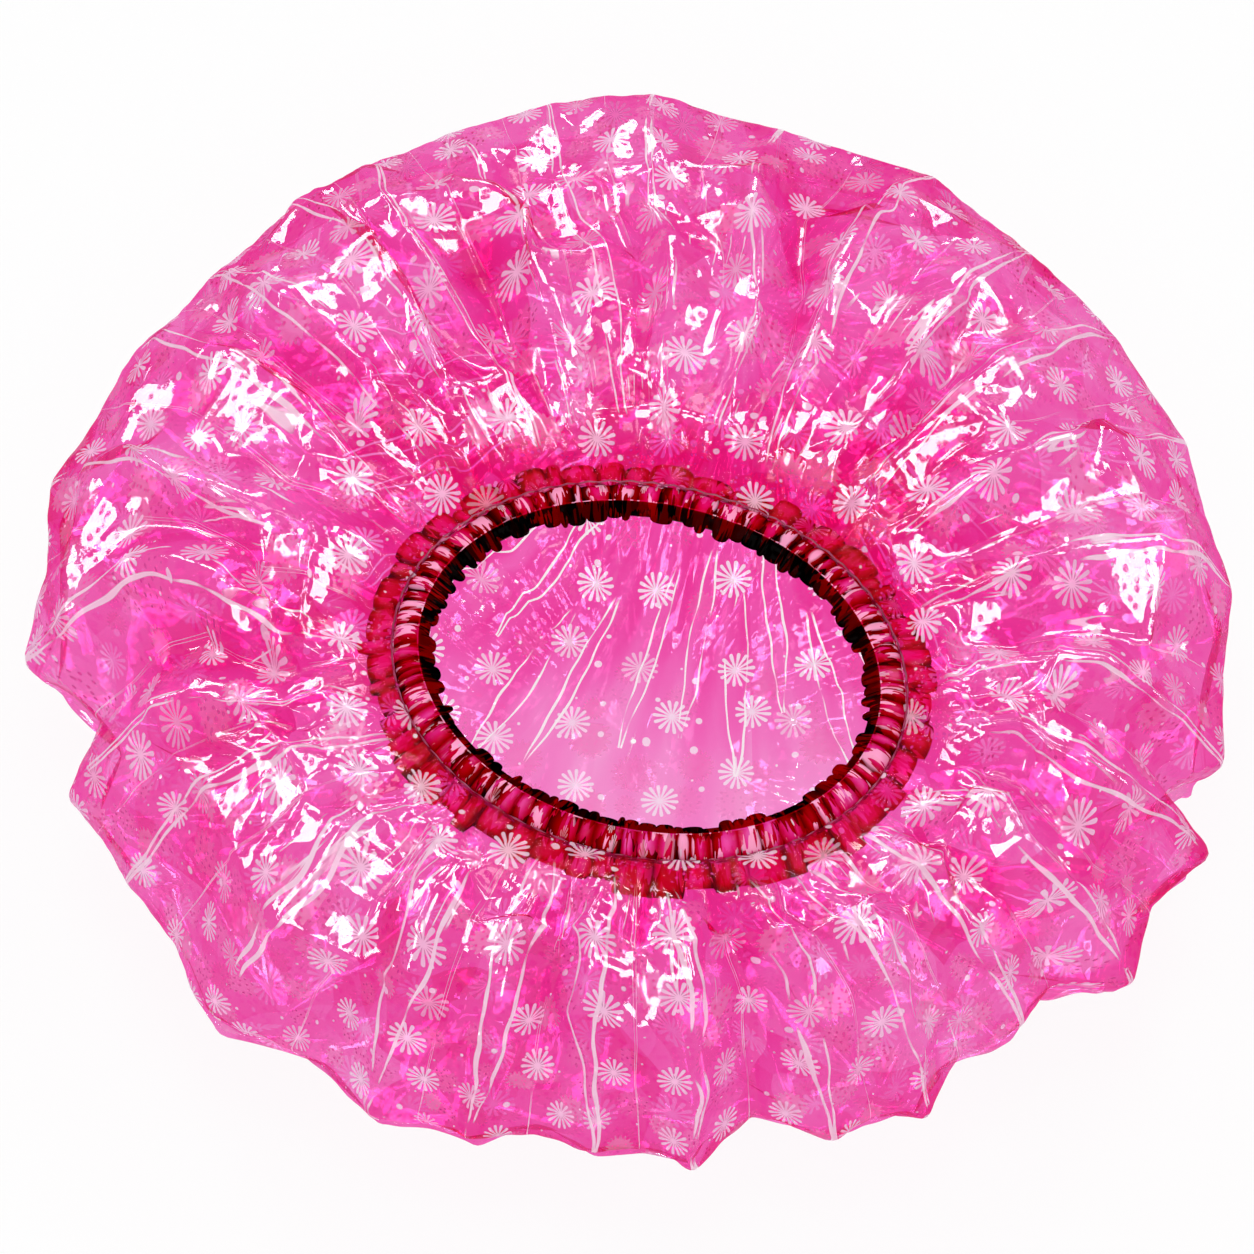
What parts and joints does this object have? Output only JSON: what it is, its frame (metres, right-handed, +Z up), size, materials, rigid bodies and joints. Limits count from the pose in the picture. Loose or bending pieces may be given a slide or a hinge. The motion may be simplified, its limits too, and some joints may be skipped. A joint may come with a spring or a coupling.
{
  "type": "shower cap",
  "caption": "Bouffant shower cap of printed vinyl film, lying on its crown with its gathered elastic mouth up.",
  "frame": {"origin": "middle of the flat patch of film that the crown rests on", "axes": "+X along the cap's widest spread, +Y towards its fuller side, away from the mouth, +Z up out of the mouth"},
  "size_m": [0.3023, 0.2856, 0.1292],
  "materials": {
    "vinyl_film": "gloss",
    "gathered_film": "gloss",
    "elastic": "matte",
    "thread": "satin"
  },
  "bodies": {
    "root": {"film_billow": "vinyl_film", "hem_casing": "gathered_film", "hem_allowance": "gathered_film", "elastic_loop": "elastic", "needle_thread": "thread", "bobbin_thread": "thread"}
  },
  "joints": []
}
